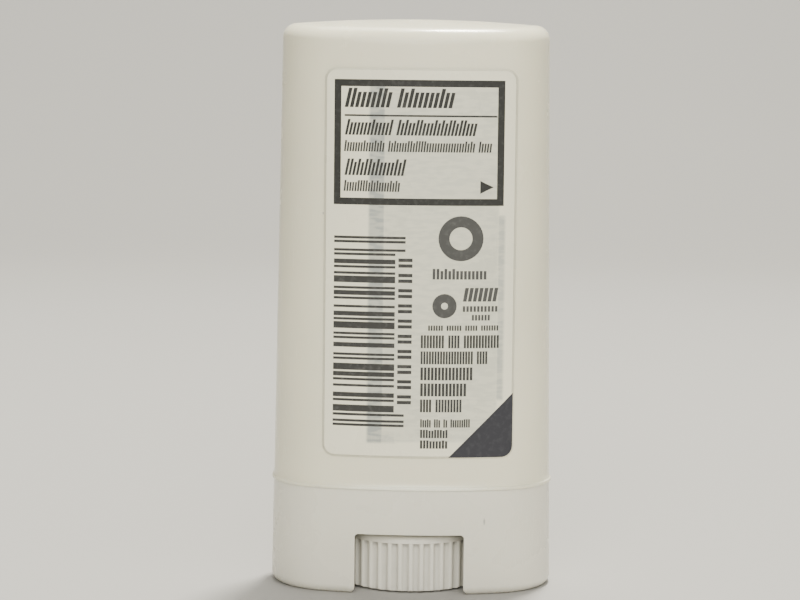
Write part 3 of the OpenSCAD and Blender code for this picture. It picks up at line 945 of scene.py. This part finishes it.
def soft_span(tree, value, low, high):
    """1 between two levels and 0 outside them, with blurred edges."""
    rise = ramp(tree, value, low - band_blur, low + band_blur)
    return times(tree, rise, ramp(tree, value, high + band_blur, high - band_blur))


upright = 0.0
# Each band: its two edges across the label, its foot and head, and how strongly it shows
for x_low, x_high, z_low, z_high, strength in (
    (-5.75, -3.7, 20.4, 68.0, 1.0),
    (-5.4, -2.0, 20.4, 22.1, 0.6),
    (-3.8, 11.3, 20.6, 67.2, 0.47),
    (11.2, 12.1, 26.1, 50.5, 0.75),
):
    inside = soft_span(tree, axes["X"], x_low, x_high)
    height = soft_span(tree, axes["Z"], z_low, z_high)
    band = times(tree, times(tree, inside, height), strength)
    upright = combine(tree, upright, band, "MAXIMUM")
row_noise = noise_at(tree, place, (0.5, 0.5, 1.9), 1.0)
rows_mask = ramp(tree, row_noise, 0.4, 0.62, 0.7, 1.0)
tree.links.new(times(tree, upright, rows_mask), group_out["Mask"])


# The edge of a film: its height falls away over a narrow border inside a rectangle with round
# corners. Places and sizes are across and up the label.
tree, place, group_in, group_out = effect_group(
    "film_border",
    {"Centre": (0, 0, 0), "Half size": (10, 0, 20), "Corner": 1.5, "Border": 0.3},
    ["Height"],
)
sides = combine_vectors(tree, place, group_in["Centre"], "SUBTRACT")
sides = combine_vectors(tree, sides, (0, 0, 0), "ABSOLUTE")
sides = combine_vectors(tree, sides, group_in["Half size"], "SUBTRACT")
sides = axes_of(tree, sides)
squares = []
for side in (sides["X"], sides["Z"]):
    past = combine(tree, combine(tree, side, group_in["Corner"]), 0.0, "MAXIMUM")
    squares.append(combine(tree, past, 2.0, "POWER"))
corner_way = combine(tree, combine(tree, *squares), 0.5, "POWER")
inside = combine(tree, group_in["Corner"], corner_way, "SUBTRACT")
inside = combine(tree, inside, group_in["Border"], "DIVIDE")
tree.links.new(ramp(tree, inside, 0.0, 1.0), group_out["Height"])


def label_film_finish(name, colour, shade, inset, seen_through):
    """Glossy printed film, a little uneven where it is stuck down, with edges that fall away."""
    material, tree, shader, _ = finish_of(name, roughness=0.3, coat=0.25, subsurface=0.05)
    skin = effect(tree, "moulded_skin", {"Grain": 0.25, "Ripple": 1.6})
    scratches = effect(tree, "fine_scratches", {"Amount": 0.7})["Mask"]
    tone = blend_colours(tree, ramp(tree, skin["Tone"], 0.35, 0.65), colour, shade)
    tree.links.new(tone, shader.inputs["Base Color"])
    if seen_through:
        lay_over(material, "show_through", {}, strength=0.9, colour=(0.3, 0.325, 0.31, 1))
    roughen(tree, shader, 0.27, ((skin["Handling"], 0.08), (scratches, 0.15)))
    border = effect(tree, "film_border", {
        "Centre": (label_x / MM, 0, label_middle_z / MM),
        "Half size": ((label_half_w - inset) / MM, 0, (label_half_h - inset) / MM),
        "Corner": (label_corner - inset) / MM,
        "Border": 0.22,
    })["Height"]
    relief = combine(tree, times(tree, skin["Height"], 0.04), border)
    bump_on(tree, shader, relief, depth=0.16 * MM)
    return material


lower_film = film_piece("label_lower_film", 0, film_gap)
lower_film.data.materials.append(label_film_finish(
    "lower_label_film",
    colour=(0.84, 0.805, 0.62, 1),
    shade=(0.81, 0.78, 0.605, 1),
    inset=0,
    seen_through=False,
))
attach(lower_film, "cap")
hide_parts("label_base")
upper_lift = 2 * film_gap + film_t
upper_film = film_piece("label_peel_film", film_inset, upper_lift)
upper_film.data.materials.append(label_film_finish(
    "upper_label_film",
    colour=(0.875, 0.84, 0.65, 1),
    shade=(0.85, 0.82, 0.64, 1),
    inset=film_inset,
    seen_through=True,
))
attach(upper_film, "cap")
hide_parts("label_peel")


# Print: dark ink on the upper film. A framed panel, a block of stripes, rows of plain strokes,
# two rings, and the dark corner where the film is pulled up.
ink_half_t = 0.006 * MM
ink_foot = upper_lift + film_t - ink_half_t
ink_top = upper_lift + film_t + ink_half_t


class Print:
    """One ink of the label: thin closed patches that follow the film. Its sizes are in millimetres."""

    def __init__(self, name, colour, worn_colour, roughness):
        self.name = name
        self.points = []
        self.faces = []
        self.colour = colour
        self.worn_colour = worn_colour
        self.roughness = roughness

    def patch(self, rails):
        placed = [[(x * MM, z * MM) for x, z in rail] for rail in rails]
        add_film(self.points, self.faces, placed, ink_foot, ink_top)

    def bar(self, x0, x1, z0, z1, lean=0.0):
        """A bar between two heights; lean moves its top to the right."""
        longest_span = 0.9
        spans = max(1, math.ceil((x1 - x0) / longest_span))
        self.patch([((x, z0), (x + lean, z1)) for x in spaced(x0, x1, spans)])

    def row(self, groups, x0, x1, z0, z1, seed, weight=2.0, lean=0.0, short=1.0):
        """A row of upright strokes from x0 to x1, in groups of so many.

        A stroke is as many times as wide as the gap beside it as its weight says. The first of a
        group is tall, and so is a share of the others, while the rest are short.
        """
        draw = random.Random(seed)
        tall_share = 0.25
        space = 1.2
        pitch = (x1 - x0 - lean) / (sum(groups) + space * (len(groups) - 1))
        x = x0
        for count in groups:
            for i in range(count):
                tall = 1 if i == 0 or draw.random() < tall_share else short
                high = z0 + (z1 - z0) * tall
                self.bar(x, x + pitch * weight / (weight + 1), z0, high, lean * tall)
                x += pitch
            x += space * pitch

    def ring(self, x, z, outer, inner, parts=36):
        """A flat ring in patches, each between two directions."""
        turns = spaced(0, 2 * math.pi, parts)
        for pair in zip(turns, turns[1:]):
            self.patch([
                [(x + r * math.cos(turn), z + r * math.sin(turn)) for r in (inner, outer)]
                for turn in pair
            ])

    def make(self):
        piece = piece_from(self.name, self.points, self.faces)
        material, tree, shader, place = finish_of(self.name + "_ink", self.roughness, ior=1.2)
        speckle = ramp(tree, noise_at(tree, place, 1.6, 4.0), 0.45, 0.85)
        tone = blend_colours(tree, speckle, self.colour, self.worn_colour)
        tree.links.new(tone, shader.inputs["Base Color"])
        skin = effect(tree, "moulded_skin", {"Grain": 0.5, "Ripple": 1.6})
        roughen(tree, shader, self.roughness - 0.04, [(skin["Handling"], 0.1)])
        bump_on(tree, shader, skin["Height"], depth=0.006 * MM)
        piece.data.materials.append(material)
        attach(piece, "cap")


panel_print = Print("label_panel_print", (0.038, 0.038, 0.036, 1), (0.065, 0.065, 0.062, 1), 0.36)
panel_left, panel_right = -10.4, 11.87
panel_foot, panel_head = 51.75, 68.07
panel_line = 0.9
panel_print.bar(panel_left, panel_right, panel_head - panel_line, panel_head)
panel_print.bar(panel_left, panel_right, panel_foot, panel_foot + panel_line)
for left in (panel_left, panel_right - panel_line):
    panel_print.bar(left, left + panel_line, panel_foot + panel_line, panel_head - panel_line)
panel_print.row((9, 11), -9.05, 5.7, 64.45, 66.95, seed=3, weight=2.4, lean=0.55, short=0.8)
panel_print.row((13, 22), -9.0, 8.55, 60.85, 62.9, seed=5, weight=2.2, lean=0.42, short=0.8)
panel_print.row((16,), -9.0, -0.7, 55.6, 57.75, seed=8, lean=0.42, short=0.8)
# A small arrowhead near the foot of the panel
panel_print.patch([
    ((8.78, 53.33), (8.78, 55.03)),
    ((9.6, 53.75), (9.6, 54.61)),
    ((10.5, 54.16), (10.5, 54.2)),
])
panel_print.make()

small_print = Print("label_small_print", (0.05, 0.05, 0.048, 1), (0.09, 0.09, 0.085, 1), 0.38)
small_print.bar(-9.05, 10.88, 63.28, 63.52)
small_print.row((15, 32, 5), -9.1, 10.4, 58.7, 60.15, seed=11, weight=2.1, lean=0.16, short=0.82)
small_print.row((21,), -9.1, -1.55, 53.5, 54.95, seed=13, weight=2.1, lean=0.14, short=0.82)
# Each row of the two blocks: how many strokes its groups have, and its right end
block_lines = (((8, 4, 12), 11.6), ((19, 4), 10.1), ((15,), 8.2), ((13,), 7.4), ((4, 9), 6.8))
block_head = 34.75
block_pitch = 2.12
block_line_h = 1.7
for line, (groups, right) in enumerate(block_lines):
    head = block_head - block_pitch * line
    small_print.row(groups, 1.25, right, head - block_line_h, head, seed=20 + line, weight=2.6)
foot_lines = (((5, 3, 2, 9), 7.9), ((10,), 5.0), ((9,), 5.0))
foot_head = 23.65
foot_pitch = 1.4
foot_line_h = 1.1
for line, (groups, right) in enumerate(foot_lines):
    head = foot_head - foot_pitch * line
    small_print.row(groups, 1.3, right, head - foot_line_h, head, seed=30 + line, weight=2.7, short=0.9)
small_print.row((6, 6, 5, 7), 2.2, 11.5, 35.35, 36.05, seed=41)

# A made-up run of stripes and spaces, in widths of about a quarter of a millimetre, from the
# foot of the block to its head. The outer ones are longer, and beside them stand plain dashes.
stripe_unit = 0.275
stripe_z = 22.56
stripe_left, stripe_right, long_stripe_right = -10.3, -2.2, -0.88
stripe_spread = 0.2
long_runs = 6
stripe_runs = (
    1, 1, 1, 2, 1, 1, 3, 2, 1, 1, 2, 3, 1, 2, 1, 1, 2, 1, 3, 2, 1, 1, 1, 3, 2, 2, 1, 1, 1, 2,
    3, 1, 1, 1, 2, 2, 1, 3, 1, 1, 2, 1, 1, 2, 3, 1, 1, 2, 1, 1, 2, 2, 1, 1, 1, 3, 1, 1, 1,
)
for i, run in enumerate(stripe_runs):
    if i % 2 == 0:
        outer = i < long_runs or i >= len(stripe_runs) - long_runs
        right = long_stripe_right if outer else stripe_right
        small_print.bar(stripe_left, right, stripe_z, stripe_z + (run + stripe_spread) * stripe_unit)
    stripe_z += run * stripe_unit
dash_left, dash_right = -1.8, 0.05
dash_h = 0.45
dash_step = 0.75
dash_foot_z = 25.6
dash_pitch = 2.0
dash_pairs = 10
for i in range(dash_pairs):
    foot = dash_foot_z + dash_pitch * i
    for low in (foot, foot + dash_step):
        small_print.bar(dash_left, dash_right, low, low + dash_h)
small_print.make()

# Two plain rings, with a row of strokes under one and three rows beside the other
mark_print = Print("label_mark_print", (0.075, 0.075, 0.072, 1), (0.11, 0.11, 0.105, 1), 0.38)
mark_print.ring(6.35, 47.45, 2.95, 1.5)
mark_print.row((14,), 2.7, 9.9, 42.1, 43.5, seed=51, weight=2.2, short=0.8)
mark_print.ring(4.3, 38.6, 1.6, 0.45, parts=24)
mark_print.row((7,), 6.7, 11.5, 39.2, 41.0, seed=53, weight=2.9, lean=0.3)
mark_print.row((10,), 6.7, 11.4, 37.85, 38.6, seed=55)
mark_print.row((6,), 7.9, 10.4, 36.7, 37.45, seed=57)
mark_print.make()

corner_print = Print("label_peel_corner", (0.044, 0.044, 0.051, 1), (0.06, 0.06, 0.067, 1), 0.34)
corner_gap = 0.02
corner_right = (label_x + label_half_w - film_inset) / MM - corner_gap
corner_foot = (base_film_low.z + film_inset) / MM + corner_gap
corner_left = 5.05
corner_head = 27.05
corner_round = 1.46
slope = (corner_head - corner_foot) / (corner_right - corner_left)
corner_rails = []
for share in spaced(0, 1, 26):
    # The rails crowd together towards the round corner
    x = corner_left + (corner_right - corner_left) * (1 - (1 - share) ** 1.6)
    into = max(corner_round - (corner_right - x), 0)
    foot = corner_foot + corner_round - math.sqrt(max(corner_round ** 2 - into ** 2, 0))
    head = max(corner_foot + slope * (x - corner_left), foot + corner_gap)
    corner_rails.append(((x, foot), (x, head)))
corner_print.patch(corner_rails)
corner_print.make()


# Studio: a pale floor that curves up behind, soft daylight from a window high in front, a small
# ceiling lamp that draws the bright line on the crown's edge, and two broad soft lamps.
floor_half_w = 1.6
floor_front = -1.2
floor_back = 1.0
sweep_r = 0.5
sweep_top = 1.6
sweep_line = [
    (floor_front, 0.0),
    (0.0, 0.0),
    *quarter(floor_back - sweep_r, sweep_r, sweep_r, -90, 0, 16),
    (floor_back, sweep_top),
]
floor_points = [Vector((side * floor_half_w, y, z)) for y, z in sweep_line for side in (-1, 1)]
floor_faces = [(2 * i, 2 * i + 1, 2 * i + 3, 2 * i + 2) for i in range(len(sweep_line) - 1)]
floor = piece_from("studio_floor", floor_points, floor_faces)
pale, tree, shader, place = finish_of("pale_floor", roughness=0.7)
tree.links.new(
    blend_colours(tree, noise_at(tree, place, 0.004), (0.38, 0.373, 0.36, 1), (0.41, 0.4, 0.385, 1)),
    shader.inputs["Base Color"],
)
floor.data.materials.append(pale)

world = bpy.data.worlds.new("daylight")
bpy.context.scene.world = world
world.use_nodes = True
sky = world.node_tree
window_way = Vector((0.22, -0.85, 0.45)).normalized()
direction = place_node(sky, "TexCoord").outputs["Generated"]
facing = place_node(sky, "VectorMath", {0: direction, 1: window_way}, operation="DOT_PRODUCT")
lit = ramp(sky, facing.outputs["Value"], 0.5, 1.0)
daylight = blend_colours(sky, lit, (0.06, 0.06, 0.058, 1), (1.0, 0.98, 0.9, 1))
sky.links.new(daylight, sky.nodes["Background"].inputs["Color"])
sky.nodes["Background"].inputs["Strength"].default_value = 2.25


def soft_lamp(name, place, aim, size, power, colour):
    lamp = bpy.data.lights.new(name, "AREA")
    lamp.shape = "DISK"
    lamp.size = size
    lamp.energy = power
    lamp.color = colour
    holder = bpy.data.objects.new(name, lamp)
    holder.location = place
    holder.rotation_mode = "QUATERNION"
    holder.rotation_quaternion = (Vector(aim) - Vector(place)).to_track_quat("-Z", "Y")
    bpy.context.scene.collection.objects.link(holder)


soft_lamp("lamp_ceiling", (0.07, 0.17, 0.82), (0, 0, 0.07), size=0.105, power=14.0, colour=(1.0, 0.97, 0.86))
soft_lamp("lamp_above", (0.0, 0.3, 0.9), (0, 0, 0.05), size=0.6, power=5.0, colour=(1.0, 0.98, 0.88))
soft_lamp("lamp_front", (0.0, -0.75, 0.42), (0, 0, 0.02), size=0.6, power=3.5, colour=(1.0, 0.985, 0.92))

# Camera: a telephoto view from just above the middle, a touch right of square, slightly rolled.
camera_data = bpy.data.cameras.new("camera")
camera = bpy.data.objects.new("camera", camera_data)
bpy.context.scene.collection.objects.link(camera)
bpy.context.scene.camera = camera
image_w, image_h = 800, 600
focal_px = 2366
middle_px = (413.4, 302.4)
camera_data.sensor_width = 36
camera_data.lens = camera_data.sensor_width * focal_px / image_w
camera_data.shift_x = (image_w / 2 - middle_px[0]) / image_w
camera_data.shift_y = (middle_px[1] - image_h / 2) / image_w
camera_data.clip_start = 0.01
camera_data.clip_end = 20
view_distance = 0.320
azimuth, elevation, roll = (math.radians(a) for a in (1.26, 6.0, 0.64))
look_at = Vector((0, 0, 0.038))
back = Vector((
    math.sin(azimuth) * math.cos(elevation),
    -math.cos(azimuth) * math.cos(elevation),
    math.sin(elevation),
))
right = (-back).cross(Vector((0, 0, 1))).normalized()
up = right.cross(-back)
tilted_right = math.cos(roll) * right + math.sin(roll) * up
tilted_up = math.cos(roll) * up - math.sin(roll) * right
turned = Matrix((tilted_right, tilted_up, back)).transposed().to_4x4()
turned.translation = look_at + back * view_distance
camera.matrix_world = turned
